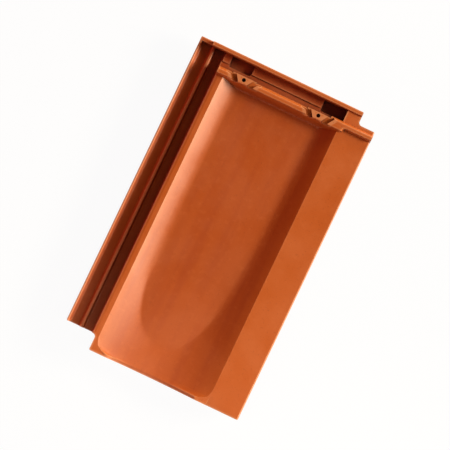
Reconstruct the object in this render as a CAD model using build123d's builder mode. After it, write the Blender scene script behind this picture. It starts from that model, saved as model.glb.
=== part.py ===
"""Interlocking clay roof tile: one pressed and fired piece.

Places are given in the tile's own terms: u runs across from the side lock to the cover edge, v runs up the
slope from the tail to the head, and a level is measured from the face, which is the flat border and cover.
"""

import os
from math import atan2, cos, exp, hypot, sin, sqrt

from build123d import *

# Overall sizes, and how the tile is laid
tile_width = 280.0
tile_length = 470.0
head_lap = 80.0  # length that the course above covers
lap_rise = 28.0  # height of a tile above the one that it laps
lock_clearance = 2.0  # left around the ribs of the side lock
cover_gap = 0.5  # from the cover edge to the border of the next tile

# Side lock and border, from the outer edge inwards
rib_level = -11.0
groove_level = -17.0
lock_floor = 9.0
outer_rib_top = 2.2
outer_rib_run = 4.0
groove_width = 12.6
middle_rib_top = 3.6
middle_rib_run = 2.3
edge_run = 1.6
edge_round = 1.2
groove_round = 1.5
border_width = 10.8
border_bevel_width = 4.4
border_bevel_drop = 0.7

# Trough
trough_depth = 11.0
tail_deepening = 4.0  # the floor sinks this much further towards the tail
tail_deepening_v = 250.0  # from here, down to the nose
trough_wall = 11.0
left_flank_width = 22.0
right_flank_width = 23.0
flank_bow = 0.12  # share by which the lower end of the left flank is less steep than a straight one
nose_flank_bow = 0.4
nose_flank_length = 60.0
left_opening = 38.0  # length over which the floor widens from its nose, on each side
right_opening = 75.0
nose_offset = 2.25  # from the middle of the trough towards the side lock
nose_v = 50.0
nose_half_width = 24.0
corner_blend = 7.0  # reach of the round between a flank and the floor
nose_blend = 20.0
nose_blend_length = 8.0
floor_dish = 1.3  # most that the middle of the floor sinks below its sides
nose_softness = 6.0  # length over which the widening of the floor sets in
trough_station_gap = 10.0

# Tail rim
rim_height = 0.8
rim_crest_v = 4.5
rim_foot_v = 12.0
rim_steps = 5
rim_roll = 1.0
rim_corner_round = 18.0
cover_bevel_length = 15.0
cover_bevel_drop = 1.2

# Cover band and the lock on its underside
cover_width = 49.5
cover_wall = 9.5
cover_crown_drop = 1.1
cover_crown_round = 700.0
cover_edge_round = 2.0
cover_rib_tip = 5.5
cover_rib_run = 2.0
cover_lip_gap = 4.0
cavity_run = 5.0

# Channel in the underside below the border
border_wall = 12.5
channel_width = 4.5
channel_lock_run = 6.5
channel_trough_run = 27.0
channel_round = 4.0

# Top rail and drain channel, from the head edge towards the tail
rail_width = 6.0
rail_front_run = 1.6
rail_level = 2.4
rail_round = 1.2
rail_step_gap = 6.4  # from the notch of the tile beside it to the high part of the rail
drain_width = 20.1
drain_front_run = 1.0
drain_level = -9.0
drain_round = 0.8
pad_level = -7.4
pad_length = 12.8
pad_round = 0.8
pad_draft = 8.0
left_pad_width = 11.8
pad_spacing = 34.0
recess_depth = 13.0  # between the pads
recess_length = 15.5
recess_inset = 0.5
pocket_depth = 16.0
pocket_width = 35.5
pocket_overrun = 2.0  # past the crest of the trough
pocket_round = 2.0

# Head rib, in front of the drain channel
head_rib_height = 5.0
head_step_level = 0.6
head_step_run = 3.3
head_rib_top = 5.8
head_wall_run = 7.6
head_wall_round = 7.0
cove_sink = 0.2  # the cove of the head wall starts this far below the floor, for a clean seam
rib_round = 1.4
rib_overrun = 4.5  # past the crest of the trough
cover_head_rib_setback = 5.6
cover_head_rib_top = 5.2
cover_head_rib_back_run = 3.0
cover_head_rib_overlap = 20.0

# Cut-outs at the corners
notch_width = 26.0
notch_length = 19.0
corner_clearance = 7.9
corner_cut_length = 23.5
cut_corner_round = 5.0
outer_corner_round = 2.0

# Nail seats
nail_hole_diameter = 5.8
left_hole_inset = 29.0  # from the crests of the trough
right_hole_inset = 33.0
nail_seat_drop = 0.6
nail_seat_front_gap = 0.3
nail_seat_overhang = 0.5
nail_seat_front_width = 24.0
nail_seat_back_width = 37.6
nail_notch_width = 9.0
nail_notch_depth = 2.8
nail_notch_reach = 9.0

# Tail foot, tail lock rib and nibs on the underside
foot_thickness = 11.0
foot_round = 1.5
lock_rib_width = 6.6
lock_rib_inset = 8.0
lock_rib_hook = 5.0  # depth that it reaches below the top of the head rib of the tile below
nib_setback = 19.0
nib_tip = 8.0
nib_run = 6.0
nib_width = 36.0
nib_round = 2.0

# Levels that follow
face_height = lap_rise + trough_depth
underside_level = -trough_depth - trough_wall
lock_underside = groove_level - lock_floor
cover_tip_level = groove_level + lock_clearance
nail_seat_level = head_rib_height - nail_seat_drop
lock_rib_level = head_rib_height - lock_rib_hook - lap_rise
clear_above = head_rib_height + 6.0  # cutters reach this far above the face
bury = 2.0  # added forms reach this far into the body

# Places across that follow
groove_1_u = outer_rib_top + outer_rib_run
middle_rib_u = groove_1_u + groove_width + middle_rib_run
groove_2_u = middle_rib_u + middle_rib_top + middle_rib_run
edge_foot_u = groove_2_u + groove_width
edge_u = edge_foot_u + edge_run
cover_lap = edge_foot_u - cover_gap
side_pitch = tile_width - cover_lap
trough_left = edge_u + border_width
trough_right = tile_width - cover_width
floor_left = trough_left + left_flank_width
floor_right = trough_right - right_flank_width
nose_u = (trough_left + trough_right) / 2 - nose_offset
channel_u = trough_left + channel_width
cavity_u = side_pitch - lock_clearance
cover_rib_u = side_pitch + groove_1_u + groove_width / 2 - cover_rib_tip / 2
cover_lip_u = side_pitch + groove_2_u + cover_lip_gap
notch_u = tile_width - notch_width
rail_step_u = notch_u - side_pitch + rail_step_gap
corner_cut_u = cover_lap + corner_clearance
pocket_end_u = trough_right + pocket_overrun
pocket_start_u = pocket_end_u - pocket_width
left_pad_end_u = edge_u + left_pad_width
main_pad_u = left_pad_end_u + pad_spacing
rib_end_u = trough_right + rib_overrun
cover_head_rib_u = rib_end_u - cover_head_rib_overlap
nail_hole_places = (trough_left + left_hole_inset, trough_right - right_hole_inset)

# Places along that follow
course_gauge = tile_length - head_lap
rail_v = tile_length - rail_width
rail_foot_v = rail_v - rail_front_run
drain_v = rail_foot_v - drain_width
pad_v = rail_foot_v - pad_length
recess_v = rail_foot_v - recess_length
head_step_v = drain_v - drain_front_run
head_rib_back_v = head_step_v - head_step_run
head_wall_top_v = head_rib_back_v - head_rib_top
head_wall_foot_v = head_wall_top_v - head_wall_run
cove_v = head_wall_foot_v - 2 * head_wall_round
head_wall_slope = head_wall_run / (trough_depth + cove_sink + head_rib_height)
cover_head_rib_front_run = head_wall_slope * (cover_wall / 2 + head_rib_height)
cover_head_rib_v = head_wall_top_v + cover_head_rib_setback
cover_head_rib_back_v = cover_head_rib_v + cover_head_rib_top
cover_head_rib_foot_v = cover_head_rib_back_v + cover_head_rib_back_run
nail_seat_front_v = head_wall_top_v + nail_seat_front_gap
nail_seat_back_v = drain_v + nail_seat_overhang
lock_rib_v = (pad_v + rail_foot_v) / 2 - course_gauge - lock_rib_width / 2
nib_v = tile_length - nib_setback


def across(u):
    """Place across the tile, from its middle."""
    return u - tile_width / 2


def along(v):
    """Place along the tile, from its middle."""
    return v - tile_length / 2


def level(height):
    """Height above the floor of a level measured from the face."""
    return face_height + height


def cross_section(corners):
    """Closed outline across the tile, from corners of place u, level and rounding."""
    points = [(across(u), level(height)) for u, height, rounding in corners]
    FilletPolyline(*points, radius=[rounding for u, height, rounding in corners], close=True)


def side_profile(corners):
    """Closed outline along the tile, from corners of place v, level and rounding."""
    points = [(along(v), level(height)) for v, height, rounding in corners]
    FilletPolyline(*points, radius=[rounding for v, height, rounding in corners], close=True)


def section_plane(v):
    """Plane across the tile at v, with X across and Z up."""
    return Plane.XZ.offset(-along(v))


def profile_plane(u):
    """Plane along the tile at u, with Y up the slope and Z up."""
    return Plane.YZ.offset(across(u))


def trough_line(v, shift, top, deepest_dish):
    """Outline of the trough at v, moved by shift in height, closed at the level top, its floor dished or flat."""
    open_length = hypot((v - nose_v) / 2, nose_softness) + (v - nose_v) / 2
    corner_run = rim_corner_round - min(max(v - rim_crest_v, 0), rim_corner_round)
    inset = rim_corner_round - sqrt(rim_corner_round**2 - corner_run**2)
    crest_left = trough_left + inset
    crest_right = trough_right - inset
    left = floor_left + (nose_u - nose_half_width - floor_left) * exp(-open_length / left_opening)
    right = floor_right + (nose_u + nose_half_width - floor_right) * exp(-open_length / right_opening)
    middle = (left + right) / 2
    blend = corner_blend + (nose_blend - corner_blend) * exp(-open_length / nose_blend_length)
    bow = flank_bow + (nose_flank_bow - flank_bow) * exp(-open_length / nose_flank_length)
    sink_run = min(max((tail_deepening_v - v) / (tail_deepening_v - nose_v), 0), 1)
    depth = trough_depth + tail_deepening * sink_run**2 * (3 - 2 * sink_run)
    dish_run = open_length / (tile_length - nose_v)
    dish = deepest_dish * 256 / 27 * dish_run * (1 - dish_run) ** 3
    dish_drop = 2 * dish * blend / (middle - left)
    rim = level(shift)
    floor = level(shift - depth)
    left_slope = (1 - bow) * depth / (left - crest_left)
    right_slope = depth / (crest_right - right)
    bow_u = (crest_left + left - blend) / 2
    left_flank = (across(left - blend), floor + blend * left_slope)
    left_floor = (across(left + blend), floor - dish_drop)
    right_floor = (across(right - blend), floor - dish_drop)
    right_flank = (across(right + blend), floor + blend * right_slope)
    Bezier((across(crest_left), rim), (across(bow_u), floor + (left - bow_u) * left_slope), left_flank)
    Bezier(left_flank, (across(left), floor), left_floor)
    if dish > 0:
        Bezier(left_floor, (across(middle), floor - 2 * dish), right_floor)
    else:
        Line(left_floor, right_floor)
    Bezier(right_floor, (across(right), floor), right_flank)
    Line(right_flank, (across(crest_right), rim))
    Polyline(
        (across(crest_right), rim),
        (across(crest_right), level(top)),
        (across(crest_left), level(top)),
        (across(crest_left), rim),
    )


with BuildPart() as tile:
    # Body: the side lock, the border, the cover band and the plain underside, one section from tail to head
    with BuildSketch(section_plane(tile_length)):
        with BuildLine():
            cross_section(
                [
                    (0, lock_underside, groove_round),
                    (0, rib_level, edge_round / 2),
                    (outer_rib_top, rib_level, edge_round),
                    (groove_1_u, groove_level, groove_round),
                    (groove_1_u + groove_width, groove_level, groove_round),
                    (middle_rib_u, rib_level, edge_round),
                    (middle_rib_u + middle_rib_top, rib_level, edge_round),
                    (groove_2_u, groove_level, groove_round),
                    (edge_foot_u, groove_level, groove_round),
                    (edge_u, -border_bevel_drop, edge_round),
                    (edge_u + border_bevel_width, 0, 0),
                    (trough_right, 0, cover_crown_round),
                    (tile_width, -cover_crown_drop, cover_edge_round),
                    (tile_width, cover_tip_level, groove_round),
                    (cover_lip_u, cover_tip_level, groove_round),
                    (cover_lip_u - cover_rib_run, -cover_wall, groove_round),
                    (cover_rib_u + cover_rib_tip + cover_rib_run, -cover_wall, groove_round),
                    (cover_rib_u + cover_rib_tip, cover_tip_level, groove_round),
                    (cover_rib_u, cover_tip_level, groove_round),
                    (cover_rib_u - cover_rib_run, -cover_wall, groove_round),
                    (cavity_u, -cover_wall, groove_round),
                    (cavity_u - cavity_run, underside_level, groove_round),
                    (channel_u + channel_trough_run, underside_level, channel_round),
                    (channel_u, -border_wall, channel_round),
                    (trough_left, -border_wall, channel_round / 2),
                    (trough_left - channel_lock_run, lock_underside, groove_round),
                ]
            )
        make_face()
    extrude(amount=tile_length)

    # Head web, which closes the channel of the underside below the drain channel
    with BuildSketch(section_plane(tile_length)):
        with BuildLine():
            cross_section(
                [
                    (trough_left - channel_lock_run - bury, underside_level, 0),
                    (trough_left - channel_lock_run - bury, -border_wall + bury, 0),
                    (channel_u + channel_trough_run + bury, -border_wall + bury, 0),
                    (channel_u + channel_trough_run + bury, underside_level, 0),
                ]
            )
        make_face()
    extrude(amount=tile_length - head_wall_top_v)

    # Trough: a dished floor that sinks towards the tail, where its corners run together in a round nose.
    # At the tail it narrows in rounded corners, lifts to a low rim and rolls over the edge.
    trough_stations = [(0, rim_height - rim_roll)]
    for step in range(rim_steps):
        rim_v = rim_crest_v + (rim_foot_v - rim_crest_v) * step / rim_steps
        trough_stations.append((rim_v, rim_height * (1 - step / rim_steps)))
    trough_length = head_rib_back_v - rim_foot_v
    trough_spans = round(trough_length / trough_station_gap)
    for span in range(trough_spans + 1):
        trough_stations.append((rim_foot_v + trough_length * span / trough_spans, 0))
    for station_v, shift in trough_stations:
        with BuildSketch(section_plane(station_v)):
            with BuildLine():
                trough_line(station_v, shift, clear_above, floor_dish)
            make_face()
    loft(ruled=True, mode=Mode.SUBTRACT)

    # Tail bevel of the cover band
    with BuildSketch(profile_plane(trough_right)):
        with BuildLine():
            side_profile(
                [
                    (0, -cover_bevel_drop, 0),
                    (cover_bevel_length, 0, 0),
                    (cover_bevel_length, clear_above, 0),
                    (0, clear_above, 0),
                ]
            )
        make_face()
    extrude(amount=cover_width, mode=Mode.SUBTRACT)

    # Head rib across the trough, with the trough's sloping head wall
    with BuildSketch(profile_plane(edge_u)):
        with BuildLine():
            side_profile(
                [
                    (cove_v, -trough_depth - cove_sink, 0),
                    (head_wall_foot_v, -trough_depth - cove_sink, head_wall_round),
                    (head_wall_top_v, head_rib_height, rib_round),
                    (head_rib_back_v, head_rib_height, rib_round),
                    (head_step_v, head_step_level, rib_round),
                    (drain_v, drain_level, 0),
                    (drain_v, -trough_depth - bury, 0),
                    (cove_v, -trough_depth - bury, 0),
                ]
            )
        make_face()
    extrude(amount=rib_end_u - edge_u)

    # Drain channel behind the rib, open to the side lock
    with BuildSketch(profile_plane(edge_foot_u)):
        with BuildLine():
            side_profile(
                [
                    (head_step_v, head_step_level, 0),
                    (drain_v, drain_level, drain_round),
                    (rail_v, drain_level, 0),
                    (rail_v, clear_above, 0),
                    (head_step_v, clear_above, 0),
                ]
            )
        make_face()
    extrude(amount=pocket_end_u - edge_foot_u, mode=Mode.SUBTRACT)

    # Deeper recess between the pads, and the pocket at the end of the channel
    for start_u, end_u, start_v, depth in (
        (left_pad_end_u + recess_inset, main_pad_u - recess_inset, recess_v, recess_depth),
        (pocket_start_u, pocket_end_u, cover_head_rib_foot_v, pocket_depth),
    ):
        with BuildSketch(Plane.XY.offset(level(-depth))):
            with Locations((across((start_u + end_u) / 2), along((start_v + rail_foot_v) / 2))):
                RectangleRounded(end_u - start_u, rail_foot_v - start_v, pocket_round)
        extrude(amount=depth + clear_above, mode=Mode.SUBTRACT)

    # Head rib across the cover band, set further back
    with BuildSketch(profile_plane(cover_head_rib_u)):
        with BuildLine():
            side_profile(
                [
                    (cover_head_rib_v - cover_head_rib_front_run, -cover_wall / 2, 0),
                    (cover_head_rib_v, head_rib_height, rib_round),
                    (cover_head_rib_back_v, head_rib_height, rib_round),
                    (cover_head_rib_foot_v, -cover_crown_drop, 0),
                    (cover_head_rib_foot_v, -cover_wall / 2, 0),
                ]
            )
        make_face()
    extrude(amount=tile_width - cover_head_rib_u)

    # Curved corner between the two head ribs, with the same slope as their front walls
    with BuildSketch(section_plane(head_wall_top_v)):
        with BuildLine():
            cross_section(
                [
                    (rib_end_u, head_rib_height, 0),
                    (rib_end_u - bury, head_rib_height, 0),
                    (rib_end_u - bury, -cover_wall / 2, 0),
                    (rib_end_u + cover_head_rib_front_run, -cover_wall / 2, 0),
                ]
            )
        make_face()
    corner_place = (across(rib_end_u + cover_head_rib_setback), along(head_wall_top_v), 0)
    revolve(axis=Axis(corner_place, (0, 0, -1)), revolution_arc=90)

    # Pads that stand in the drain channel
    pad_reach = rail_v + bury - pad_v
    for pad_u, pad_end_u in ((edge_u, left_pad_end_u), (main_pad_u, pocket_start_u)):
        with BuildSketch(Plane.XY.offset(level(drain_level - bury))):
            with Locations((across((pad_u + pad_end_u) / 2), along(pad_v + pad_reach / 2))):
                RectangleRounded(pad_end_u - pad_u, pad_reach, pad_round)
        extrude(amount=pad_level - drain_level + bury, taper=pad_draft)

    # Top rail, low over the side lock and high from there to the notch
    for start_u, end_u, top, foot in (
        (0, rail_step_u, rib_level, groove_level),
        (rail_step_u, edge_u, rail_level, groove_level),
        (edge_u, pocket_end_u, rail_level, drain_level),
        (pocket_end_u, notch_u, rail_level, -cover_crown_drop),
    ):
        with BuildSketch(profile_plane(start_u)):
            with BuildLine():
                side_profile(
                    [
                        (rail_foot_v, foot - bury, 0),
                        (rail_v, top, rail_round),
                        (tile_length, top, rail_round),
                        (tile_length, foot - bury, 0),
                    ]
                )
            make_face()
        extrude(amount=end_u - start_u)

    # Nail seats: flat plates set into the rib, with a slanted notch along each side
    seat_length = nail_seat_back_v - nail_seat_front_v
    seat_slant = atan2((nail_seat_back_width - nail_seat_front_width) / 2, seat_length)
    for hole_u in nail_hole_places:
        with BuildSketch(Plane.XY.offset(level(nail_seat_level))) as seat:
            with BuildLine():
                Polyline(
                    (across(hole_u - nail_seat_front_width / 2), along(nail_seat_front_v)),
                    (across(hole_u + nail_seat_front_width / 2), along(nail_seat_front_v)),
                    (across(hole_u + nail_seat_back_width / 2), along(nail_seat_back_v)),
                    (across(hole_u - nail_seat_back_width / 2), along(nail_seat_back_v)),
                    close=True,
                )
            make_face()
        extrude(amount=drain_level - nail_seat_level)
        extrude(seat.sketch, amount=clear_above, mode=Mode.SUBTRACT)
        for side in (-1, 1):
            notch_place = (
                across(hole_u + side * (nail_seat_front_width + nail_seat_back_width) / 4),
                along((nail_seat_front_v + nail_seat_back_v) / 2),
                level(nail_seat_level),
            )
            notch_run = (side * sin(seat_slant), cos(seat_slant), 0)
            notch_across = (cos(seat_slant), -side * sin(seat_slant), 0)
            with BuildSketch(Plane(notch_place, x_dir=notch_across, z_dir=notch_run)):
                with BuildLine():
                    Polyline(
                        (-nail_notch_width, nail_notch_depth),
                        (0, -nail_notch_depth),
                        (nail_notch_width, nail_notch_depth),
                        close=True,
                    )
                make_face()
            extrude(amount=nail_notch_reach, both=True, mode=Mode.SUBTRACT)

    # Tail foot, shaped to the face of the tile that it laps
    with BuildSketch(section_plane(foot_thickness)):
        with BuildLine():
            trough_line(course_gauge, -lap_rise, underside_level + bury, 0)
        make_face()
        with BuildLine():
            cross_section(
                [
                    (corner_cut_u, -lap_rise, foot_round),
                    (corner_cut_u, -border_wall + bury, 0),
                    (channel_u, -border_wall + bury, 0),
                    (channel_u + channel_trough_run, underside_level + bury, 0),
                    (cavity_u - cavity_run, underside_level + bury, 0),
                    (cavity_u, -cover_wall + bury, 0),
                    (tile_width, -cover_wall + bury, 0),
                    (tile_width, -lap_rise, foot_round),
                ]
            )
        make_face()
    extrude(amount=foot_thickness)

    # Tail lock rib, which drops into the drain channel of the tile below
    with BuildSketch(profile_plane(trough_left + lock_rib_inset)):
        with BuildLine():
            side_profile(
                [
                    (lock_rib_v, underside_level + bury, 0),
                    (lock_rib_v, lock_rib_level, foot_round),
                    (lock_rib_v + lock_rib_width, lock_rib_level, foot_round),
                    (lock_rib_v + lock_rib_width, underside_level + bury, 0),
                ]
            )
        make_face()
    extrude(amount=trough_right - trough_left - 2 * lock_rib_inset)

    # Nibs that hook over the batten
    for hole_u in nail_hole_places:
        with BuildSketch(profile_plane(hole_u - nib_width / 2)):
            with BuildLine():
                side_profile(
                    [
                        (nib_v, underside_level + bury, 0),
                        (nib_v, -face_height, nib_round),
                        (nib_v + nib_tip, -face_height, nib_round),
                        (nib_v + nib_tip + nib_run, underside_level + bury, 0),
                    ]
                )
            make_face()
        extrude(amount=nib_width)

    # Outline in plan, with the cut-outs at the tail and the head for the tiles laid beside it
    with BuildSketch():
        with BuildLine():
            FilletPolyline(
                (across(0), along(corner_cut_length)),
                (across(corner_cut_u), along(corner_cut_length)),
                (across(corner_cut_u), along(0)),
                (across(tile_width), along(0)),
                (across(tile_width), along(tile_length - notch_length)),
                (across(notch_u), along(tile_length - notch_length)),
                (across(notch_u), along(tile_length)),
                (across(0), along(tile_length)),
                radius=[cut_corner_round if corner in (1, 5) else outer_corner_round for corner in range(8)],
                close=True,
            )
        make_face()
    extrude(amount=level(clear_above), mode=Mode.INTERSECT)

    # Nail holes
    with BuildSketch(Plane.XY.offset(level(clear_above))):
        with Locations(*[(across(hole_u), along(head_rib_back_v)) for hole_u in nail_hole_places]):
            Circle(nail_hole_diameter / 2)
    extrude(amount=-level(clear_above), mode=Mode.SUBTRACT)

tile.part.label = "clay_tile"
os.makedirs("parts", exist_ok=True)
export_step(tile.part, "parts/clay_tile.step")
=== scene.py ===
"""Looks of the clay roof tile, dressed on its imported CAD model."""

import math

import bmesh
import bpy
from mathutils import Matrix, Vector
from mathutils.bvhtree import BVHTree


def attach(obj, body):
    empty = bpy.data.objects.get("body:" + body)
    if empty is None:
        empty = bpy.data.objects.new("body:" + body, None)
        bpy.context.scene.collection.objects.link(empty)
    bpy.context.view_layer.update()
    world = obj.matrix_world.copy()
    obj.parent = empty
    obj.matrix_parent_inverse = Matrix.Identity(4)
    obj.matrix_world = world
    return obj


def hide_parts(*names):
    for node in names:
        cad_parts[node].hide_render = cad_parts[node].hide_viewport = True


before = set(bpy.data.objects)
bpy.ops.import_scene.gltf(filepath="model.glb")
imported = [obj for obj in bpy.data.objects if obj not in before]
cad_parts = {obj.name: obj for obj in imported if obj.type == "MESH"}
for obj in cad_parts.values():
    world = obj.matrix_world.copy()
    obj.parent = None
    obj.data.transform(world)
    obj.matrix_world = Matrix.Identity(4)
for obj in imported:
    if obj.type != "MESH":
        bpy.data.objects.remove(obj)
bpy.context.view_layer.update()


# The tile: one piece of fine red clay, pressed between two moulds, sprayed with a satin engobe and
# fired. Its shape is the CAD solid's, with the seams of its faces joined so that the pressed curves
# shade smoothly.
seam_gap = 1e-7  # metres between corners that belong together
crease_angle = 28  # degrees; a sharper bend of the pressed shape is an edge
face_height = 0.039  # metres; the flat border and cover, whose inner edges are the trough's crests
crest_band = 0.0002
crest_angle = 4  # degrees; the crests stay crisp where the flanks are shallow

tile_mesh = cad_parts["clay_tile"].data.copy()
shape = bmesh.new()
shape.from_mesh(tile_mesh)
bmesh.ops.remove_doubles(shape, verts=shape.verts, dist=seam_gap)

# The nose of the trough: the mould leaves a crisp line round the floor where it runs out towards the
# tail, and the flanks rise straight from that line. The copy is cut finely there and pressed to it,
# by a few millimetres.
trough_left, trough_right = -0.0878, 0.0905  # metres; the crests
tail_edge = -0.235
nose_x, nose_y = -0.002, -0.187  # the end of the floor
left_reach, left_opening = 0.064, 0.037  # from the nose out to the floor's side, and the length it takes
right_reach, right_opening = 0.0695, 0.090
line_length, line_steps = 0.13, 60  # how far the line is followed up the trough
line_round = 0.0025  # softness of the line
floor_depth = 0.011
nose_deepening, deepening_start, deepening_length = 0.004, 0.015, 0.200
nose_full, nose_end = -0.135, -0.085  # the pressing is whole below the first and ends at the second
tail_stretch = 0.5  # towards the tail the flank is drawn out
rim_length = 0.013  # the last stretch before the tail edge, which keeps the rounding of the rim
rim_crest = 0.0045  # the crest along the tail edge
corner_round = 0.018  # the crest's corners at the tail
crest_fade = 0.004  # towards a crest the pressing fades out
cut_gap = 0.0025
tiny_gap = 1e-6  # cuts this near to a corner go through it, and nothing is divided by less
upward = 0.3  # a face of the trough's top looks up by more than this share
lowest_top = face_height - 0.02  # the top of the trough lies above this
edge_inset = 0.0012  # the top is measured this far in from the tail edge
top_skin = 0.0016  # corners this little below the top belong to it, as on the rounded rim

top_of_tile = BVHTree.FromBMesh(shape)


def floor_side(y, reach, opening):
    """Distance from the nose to one side of the floor, at y."""
    return reach * math.tanh(math.sqrt(max(y - nose_y, 0) / opening))


def eased(share):
    """A share from 0 to 1 that starts and ends softly."""
    share = min(max(share, 0), 1)
    return share * share * (3 - 2 * share)


def cad_height(x, y):
    """Height of the top of the CAD shape."""
    return top_of_tile.ray_cast(Vector((x, y, 1)), Vector((0, 0, -1)))[0].z


def crest_distance(x, y):
    """Distance across to the crest of the trough, which curves in towards the tail."""
    corner_run = corner_round - min(max(y - tail_edge - rim_crest, 0), corner_round)
    inset = corner_round - math.sqrt(corner_round**2 - corner_run**2)
    return max(min(x - trough_left, trough_right - x) - inset, 0)


nose_line = []
for step in range(line_steps + 1):
    y = nose_y + line_length * (step / line_steps) ** 2
    nose_line.append((nose_x - floor_side(y, left_reach, left_opening), y))
    nose_line.append((nose_x + floor_side(y, right_reach, right_opening), y))


def pressed_height(x, y):
    """Height of the trough with its crisp nose."""
    depth = floor_depth + nose_deepening * eased((deepening_start - y) / deepening_length)
    left = nose_x - floor_side(y, left_reach, left_opening)
    right = nose_x + floor_side(y, right_reach, right_opening)
    if y > nose_y and left < x < right:
        away = 0
    else:
        away = min(
            math.hypot(x - line_x, (y - line_y) * (1 if y > line_y else tail_stretch))
            for line_x, line_y in nose_line
        )
    away = math.hypot(away, line_round) - line_round
    return face_height - depth * (1 - away / (away + crest_distance(x, y) + tiny_gap))


def in_trough(face):
    """Whether a face is part of the top of the trough, near the tail."""
    middle = face.calc_center_median()
    return (
        face.normal.z > upward
        and trough_left < middle.x < trough_right
        and middle.y < nose_end
        and middle.z > lowest_top
    )


for axis, first, last in ((0, trough_left, trough_right), (1, tail_edge, nose_end)):
    across = Vector((0, 0, 0))
    across[axis] = 1
    for number in range(1, round((last - first) / cut_gap)):
        cut_place = first + number * cut_gap
        cut_parts = {}  # a dict keeps their order, so that each run cuts alike
        for face in shape.faces:
            extent = [corner.co[axis] for corner in face.verts]
            if min(extent) < cut_place < max(extent) and in_trough(face):
                cut_parts.update(dict.fromkeys((face, *face.edges, *face.verts)))
        bmesh.ops.bisect_plane(
            shape, geom=list(cut_parts), dist=tiny_gap, plane_co=across * cut_place, plane_no=across
        )
bmesh.ops.triangulate(shape, faces=[face for face in shape.faces if len(face.verts) > 3])

lifts = []
for corner in shape.verts:
    x, y, z = corner.co
    if trough_left < x < trough_right and y < nose_end:
        if z > cad_height(x, max(y, tail_edge + edge_inset)) - top_skin:
            rim_y = max(y, tail_edge + rim_length)
            lift = pressed_height(x, rim_y) - cad_height(x, rim_y)
            pressing = eased((nose_end - y) / (nose_end - nose_full))
            lifts.append((corner, lift * pressing * min(crest_distance(x, y) / crest_fade, 1)))
for corner, lift in lifts:
    corner.co.z += lift

# The edges: bends of the moulds stay crisp, and everything else shades as one pressed skin.
for face in shape.faces:
    face.smooth = True
for edge in shape.edges:
    on_crest = all(abs(corner.co.z - face_height) < crest_band for corner in edge.verts)
    edge.smooth = edge.calc_face_angle(0) < math.radians(crest_angle if on_crest else crease_angle)
shape.to_mesh(tile_mesh)
shape.free()
draft = bpy.data.objects.new("pressed_tile_draft", tile_mesh)
bpy.context.scene.collection.objects.link(draft)
even_shading = draft.modifiers.new("even_shading", "WEIGHTED_NORMAL")
even_shading.mode = "FACE_AREA_WITH_ANGLE"
even_shading.keep_sharp = True
finished = draft.evaluated_get(bpy.context.evaluated_depsgraph_get())
tile_mesh = bpy.data.meshes.new_from_object(finished)
bpy.data.objects.remove(draft)
tile_mesh.name = "pressed_tile"
tile = bpy.data.objects.new("pressed_tile", tile_mesh)
bpy.context.scene.collection.objects.link(tile)


def srgb(hex_colour):
    """Linear colour of an sRGB hex value."""
    parts = [int(hex_colour[i:i + 2], 16) / 255 for i in (1, 3, 5)]
    return [c / 12.92 if c <= 0.04045 else ((c + 0.055) / 1.055) ** 2.4 for c in parts] + [1]


def node(tree, kind, settings=(), values=(), links=()):
    """A node of that kind, with its settings, its sockets' values and the links into it."""
    made = tree.nodes.new(kind)
    for name, value in dict(settings).items():
        setattr(made, name, value)
    for socket, value in dict(values).items():
        made.inputs[socket].default_value = value
    for socket, source in dict(links).items():
        tree.links.new(source, made.inputs[socket])
    return made


# Engobed clay: a thin slip of finer clay, sprayed on the face before firing. It gives an even
# red-orange with a satin sheen, cloudy where the slip lies thicker, faintly drawn out along the
# press and darker lower in the trough. Its edges are lighter, partly where the slip is thin and partly
# as a painted highlight, and shade is painted into the grooves and pockets. The underside stays raw:
# paler, matt clay with a little overspray.
slip_patch = 0.045  # metres across a thicker or thinner patch of slip
draw_width = 0.019  # streaks that the slip keeps from the pressed clay, which slid along the trough
draw_length = 0.260
mottle_size = 0.007
grit_size = 0.0022  # drawn coarser than the real grains of 0.3 mm, which are too fine to show
wave_size = 0.030  # soft unevenness of the pressed face
wave_depth = 0.00022
grit_depth = 0.00005
edge_reach = 0.0028  # how far from an edge the lighter tone reaches, partly thin slip and partly a painted highlight
recess_reach = 0.022  # how far the walls of a groove or pocket reach for the shade painted into it
darkening_top, darkening_bottom = face_height - 0.0002, face_height - 0.006  # the colour darkens lower in the trough, from the first height down to the second
shelter_samples = 6
drift_share = 0.5  # how unevenly the overspray ends where the tile turns under
shade_places = (0.3, 0.7)  # where on a pattern's scale its two shades stand
satin_low, satin_high = 0.40, 0.50  # roughness of the slip
raw_roughness = 0.85

engobe = bpy.data.materials.new("engobed_clay")
engobe.use_nodes = True
tree = engobe.node_tree
tree.nodes.clear()
coordinates = node(tree, "ShaderNodeTexCoord")
place = coordinates.outputs["Object"]
drawn_place = node(
    tree,
    "ShaderNodeMapping",
    values={"Scale": (1, draw_width / draw_length, 1)},
    links={"Vector": place},
).outputs["Vector"]

# The patterns, each with its size, its levels of detail and where it is read
patterns = {}
for name, size, detail, where in (
    ("cloud", slip_patch, 3, place),
    ("mottle", mottle_size, 3, place),
    ("grit", grit_size, 2, place),
    ("streak", draw_width, 2, drawn_place),
    ("wave", wave_size, 1, place),
):
    noise = node(
        tree,
        "ShaderNodeTexNoise",
        values={"Scale": 1 / size, "Detail": detail},
        links={"Vector": where},
    )
    patterns[name] = noise.outputs["Fac"]

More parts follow.
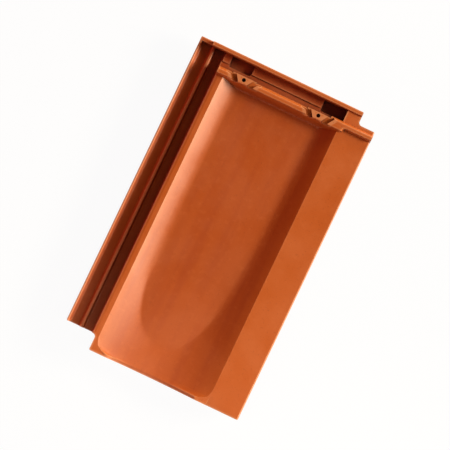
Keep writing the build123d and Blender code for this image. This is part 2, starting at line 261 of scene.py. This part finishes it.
# What the surface itself gives: its level, whether it is sheltered by walls round it, whether an
# edge is near through the clay, and how far it faces up, blurred where the spray drifted over
level = node(tree, "ShaderNodeSeparateXYZ", links={0: place}).outputs["Z"]
sheltered = node(
    tree,
    "ShaderNodeAmbientOcclusion",
    settings={"only_local": True, "samples": shelter_samples},
    values={"Distance": recess_reach},
).outputs["AO"]
inner = node(
    tree,
    "ShaderNodeAmbientOcclusion",
    settings={"inside": True, "only_local": True, "samples": shelter_samples},
    values={"Distance": edge_reach},
).outputs["AO"]
facing = node(tree, "ShaderNodeSeparateXYZ", links={0: coordinates.outputs["Normal"]}).outputs["Z"]
drift = node(
    tree,
    "ShaderNodeMath",
    settings={"operation": "MULTIPLY_ADD"},
    values={1: drift_share},
    links={0: patterns["mottle"], 2: facing},
).outputs[0]

# The amounts, each of which goes softly from low to high as its source goes from start to end
amounts = {}
for name, source, start, end, low, high in (
    # darker lower in the trough
    ("lower_in_trough", level, darkening_top, darkening_bottom, 0, 1),
    ("streaked", patterns["streak"], 0.35, 0.7, 0.42, 0.78),
    ("mottled", patterns["mottle"], 0.5, 0.75, 0, 0.2),
    ("gritty", patterns["grit"], 0.62, 0.74, 0, 0.35),
    # the edges' lighter tone: partly thin slip, partly a painted highlight
    ("near_edge", inner, 0.985, 0.8, 0, 0.5),
    ("open", sheltered, 0.66, 0.82, 0, 1),
    # painted shade: darker where the walls round a groove or pocket would shade it
    ("painted_recess_shade", sheltered, 0.78, 0.32, 0, 0.88),
    ("raw", drift, 0.3, 0.02, 0, 1),
    ("raw_gritty", patterns["grit"], 0.55, 0.7, 0, 0.6),
    ("raw_cloudy", patterns["cloud"], 0.5, 0.75, 0, 0.45),
    ("satin", patterns["cloud"], 0.3, 0.7, satin_low, satin_high),
):
    soft_step = node(
        tree,
        "ShaderNodeMapRange",
        settings={"interpolation_type": "SMOOTHSTEP"},
        values={"From Min": start, "From Max": end, "To Min": low, "To Max": high},
        links={"Value": source},
    )
    amounts[name] = soft_step.outputs["Result"]
for name, first, second in (("drawn", "lower_in_trough", "streaked"), ("thinned_and_highlit", "near_edge", "open")):
    product = node(
        tree,
        "ShaderNodeMath",
        settings={"operation": "MULTIPLY"},
        links={0: amounts[first], 1: amounts[second]},
    )
    amounts[name] = product.outputs[0]

# The colours: slip and bare clay each have two shades, which follow a pattern, and coats over them.
# A Mix node's socket 0 is the amount, 2 and 3 take two numbers, and 6 and 7 two colours.
slip_coats = (
    # darker lower in the trough, along the streaks
    ("#ab4612", "drawn"),
    ("#d07038", "mottled"),
    ("#8e3a12", "gritty"),
    # lighter edges: partly thin slip, partly a painted highlight
    ("#e2a073", "thinned_and_highlit"),
    # painted shade in the grooves, pockets and other recesses
    ("#4a1408", "painted_recess_shade"),
)
clay_coats = (("#8a4a2c", "raw_gritty"), ("#cf9670", "raw_cloudy"))
colours = {}
for name, pattern, shades, coats in (
    ("slip", "cloud", ("#c25c1a", "#c7611c"), slip_coats),
    ("clay", "mottle", ("#a9623d", "#c07d55"), clay_coats),
):
    shading = node(tree, "ShaderNodeValToRGB", links={"Fac": patterns[pattern]})
    for stop, position, shade in zip(shading.color_ramp.elements, shade_places, shades):
        stop.position = position
        stop.color = srgb(shade)
    colours[name] = shading.outputs["Color"]
    for coat, amount in coats:
        coated = node(
            tree,
            "ShaderNodeMix",
            settings={"data_type": "RGBA"},
            values={7: srgb(coat)},
            links={0: amounts[amount], 6: colours[name]},
        )
        colours[name] = coated.outputs[2]
colour = node(
    tree,
    "ShaderNodeMix",
    settings={"data_type": "RGBA"},
    links={0: amounts["raw"], 6: colours["slip"], 7: colours["clay"]},
).outputs[2]
roughness = node(
    tree,
    "ShaderNodeMix",
    values={3: raw_roughness},
    links={0: amounts["raw"], 2: amounts["satin"]},
).outputs[0]
waves = node(
    tree,
    "ShaderNodeBump",
    values={"Strength": 1.0, "Distance": wave_depth},
    links={"Height": patterns["wave"]},
)
grain = node(
    tree,
    "ShaderNodeBump",
    values={"Strength": 1.0, "Distance": grit_depth},
    links={"Height": patterns["grit"], "Normal": waves.outputs["Normal"]},
)
surface = node(
    tree,
    "ShaderNodeBsdfPrincipled",
    values={"IOR": 1.6, "Specular IOR Level": 0.9},
    links={"Base Color": colour, "Roughness": roughness, "Normal": grain.outputs["Normal"]},
)
node(tree, "ShaderNodeOutputMaterial", links={"Surface": surface.outputs["BSDF"]})
tile_mesh.materials.clear()
tile_mesh.materials.append(engobe)
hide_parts("clay_tile")
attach(tile, "root")


# The floor: a plain white sheet of board. The camera sees it as white, with a pale trace of the
# tile's shadow, and it is painted dark as shade where the nail holes look down on it, because no
# light comes down through them.
floor_half = 4.0  # metres
nail_hole_x = 0.05825  # from the middle; the two holes stand almost alike on both sides of it
nail_hole_y = 0.203
hole_shade = 0.016
shaded_board, lit_board = "#301008", "#f2f2f2"
white_share = 0.95  # the rest is lit board, which keeps the shadow

floor_mesh = bpy.data.meshes.new("floor")
floor_corners = [(-1, -1), (1, -1), (1, 1), (-1, 1)]
floor_mesh.from_pydata(
    [(x * floor_half, y * floor_half, 0) for x, y in floor_corners], [], [(0, 1, 2, 3)]
)
floor = bpy.data.objects.new("floor", floor_mesh)
bpy.context.scene.collection.objects.link(floor)
board = bpy.data.materials.new("white_board")
board.use_nodes = True
tree = board.node_tree
tree.nodes.clear()
board_place = node(tree, "ShaderNodeTexCoord").outputs["Object"]
spot = node(tree, "ShaderNodeSeparateXYZ", links={0: board_place})
either_side = node(
    tree, "ShaderNodeMath", settings={"operation": "ABSOLUTE"}, links={0: spot.outputs["X"]}
)
folded = node(
    tree, "ShaderNodeCombineXYZ", links={"X": either_side.outputs[0], "Y": spot.outputs["Y"]}
)
from_hole = node(
    tree,
    "ShaderNodeVectorMath",
    settings={"operation": "DISTANCE"},
    values={1: (nail_hole_x, nail_hole_y, 0)},
    links={0: folded.outputs["Vector"]},
)
bare = node(
    tree,
    "ShaderNodeMath",
    settings={"operation": "GREATER_THAN"},
    values={1: hole_shade},
    links={0: from_hole.outputs["Value"]},
).outputs[0]
# painted shade: a dark tone under the nail holes, with no glow there
tone = node(tree, "ShaderNodeValToRGB", links={"Fac": bare})
tone.color_ramp.interpolation = "CONSTANT"
tone.color_ramp.elements[0].color = srgb(shaded_board)
tone.color_ramp.elements[1].position = 0.5
tone.color_ramp.elements[1].color = srgb(lit_board)
ray = node(tree, "ShaderNodeLightPath")
seen = node(
    tree,
    "ShaderNodeMath",
    settings={"operation": "MAXIMUM"},
    links={0: ray.outputs["Is Camera Ray"], 1: ray.outputs["Is Glossy Ray"]},
)
seen_bare = node(
    tree, "ShaderNodeMath", settings={"operation": "MULTIPLY"}, links={0: seen.outputs[0], 1: bare}
)
white = node(
    tree,
    "ShaderNodeMath",
    settings={"operation": "MULTIPLY"},
    values={1: white_share},
    links={0: seen_bare.outputs[0]},
)
matt = node(tree, "ShaderNodeBsdfDiffuse", links={"Color": tone.outputs["Color"]})
glow = node(tree, "ShaderNodeEmission", values={"Color": (1, 1, 1, 1), "Strength": 1.0})
mixed = node(
    tree,
    "ShaderNodeMixShader",
    links={0: white.outputs[0], 1: matt.outputs["BSDF"], 2: glow.outputs["Emission"]},
)
node(tree, "ShaderNodeOutputMaterial", links={"Surface": mixed.outputs["Shader"]})
floor_mesh.materials.append(board)


# The studio: one broad lamp low on the cover's side and a faint warm light all round. Weak cards
# open up the shade at the side lock, the tail and the head, and two small lamps give the tail its
# sheen, one of them through a grid that keeps it on the flank.
fill_tint, fill_strength = "#ff9c7c", 0.06
warm_white, rose = "#fff4d6", "#ff8a98"
tile_foot = (0, 0, 0)
tail_face = (0, -0.2, 0.03)
head_face = (0, 0.2, 0.03)
lit_flank = (-0.055, -0.23, 0.03)
no_grid, flank_grid = 180, 30  # degrees that a lamp spreads over
lamp_plans = (  # name, stand, aim, width, height, spread, watts, tint, whether the tile mirrors it
    ("key", (6.8, 3.1, 2.72), tile_foot, 3.0, 1.8, no_grid, 1140, warm_white, True),
    ("side_card", (-1.9, -0.3, 0.66), tile_foot, 1.2, 0.8, no_grid, 15.0, rose, False),
    ("tail_card", (-0.05, -0.42, 0.34), tail_face, 0.4, 0.2, no_grid, 0.44, warm_white, False),
    ("tail_gleam", (0.42, -0.28, 0.30), tail_face, 0.2, 0.2, no_grid, 0.65, warm_white, True),
    ("flank_gleam", (0.20, -0.225, 0.40), lit_flank, 0.12, 0.12, flank_grid, 0.0115, warm_white, True),
    ("head_card", (0.10, 1.0, 0.26), head_face, 0.5, 0.2, no_grid, 3.0, warm_white, False),
)

world = bpy.data.worlds.new("studio")
bpy.context.scene.world = world
world.use_nodes = True
tree = world.node_tree
tree.nodes.clear()
fill = node(
    tree, "ShaderNodeBackground", values={"Color": srgb(fill_tint), "Strength": fill_strength}
)
backdrop = node(tree, "ShaderNodeBackground", values={"Color": (1, 1, 1, 1), "Strength": 1.0})
ray = node(tree, "ShaderNodeLightPath")
mixed = node(
    tree,
    "ShaderNodeMixShader",
    links={
        0: ray.outputs["Is Camera Ray"],
        1: fill.outputs["Background"],
        2: backdrop.outputs["Background"],
    },
)
node(tree, "ShaderNodeOutputWorld", links={"Surface": mixed.outputs["Shader"]})

for lamp_name, stand, aim, width, height, spread, watts, tint, mirrored in lamp_plans:
    lamp_data = bpy.data.lights.new(lamp_name, "AREA")
    lamp_data.shape = "RECTANGLE"
    lamp_data.size = width
    lamp_data.size_y = height
    lamp_data.spread = math.radians(spread)
    lamp_data.energy = watts
    lamp_data.color = srgb(tint)[:3]
    lamp = bpy.data.objects.new(lamp_name, lamp_data)
    lamp.location = stand
    lamp.rotation_euler = (Vector(stand) - Vector(aim)).to_track_quat("Z", "Y").to_euler()
    lamp.visible_camera = False
    lamp.visible_glossy = mirrored
    bpy.context.scene.collection.objects.link(lamp)


# The camera: a long lens straight above the face, turned so that the tile's head points to the
# upper right. It stands as high as the photo's scale on the face asks.
photo_width = 450  # pixels
millimetres_per_pixel = 1.4141
camera_x, camera_y = 0.0050, 0.0068  # metres
camera_turn = 25.5  # degrees

camera_data = bpy.data.cameras.new("camera")
camera_data.sensor_width = 36
camera_data.lens = 200
frame_width = photo_width * millimetres_per_pixel / 1000
camera_height = frame_width * camera_data.lens / camera_data.sensor_width
camera = bpy.data.objects.new("camera", camera_data)
camera.location = (camera_x, camera_y, face_height + camera_height)
camera.rotation_euler = (0, 0, math.radians(camera_turn))
bpy.context.scene.collection.objects.link(camera)
bpy.context.scene.camera = camera
bpy.context.scene.view_settings.view_transform = "Standard"
